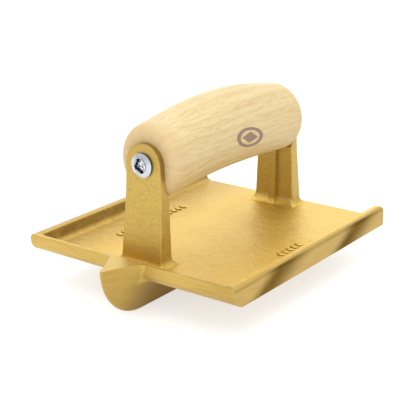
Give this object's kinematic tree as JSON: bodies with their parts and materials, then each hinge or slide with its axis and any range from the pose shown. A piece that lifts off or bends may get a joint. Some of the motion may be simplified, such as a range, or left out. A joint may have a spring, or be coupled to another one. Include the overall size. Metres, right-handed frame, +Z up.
{
  "type": "hand groover",
  "caption": "Concrete hand groover with a shallow tray-shaped bronze plate, a deep V bit with a curved prow, and an arched wooden handle screwed between cast posts.",
  "frame": {"origin": "bottom of the keel, under the middle of the overall bounding box", "axes": "+Z up from the keel to the handle, Y along the joint that the bit cuts with the curved prow at -Y, X across the plate"},
  "size_m": [0.136, 0.1724, 0.1043],
  "materials": {
    "bronze": "sand-cast and linished manganese bronze",
    "wood": "pale hardwood, smooth sanded",
    "zinc": "bright zinc plate"
  },
  "bodies": {
    "root": {"casting": "bronze", "handle": "wood", "near_screw": "zinc", "far_screw": "zinc"}
  },
  "joints": []
}
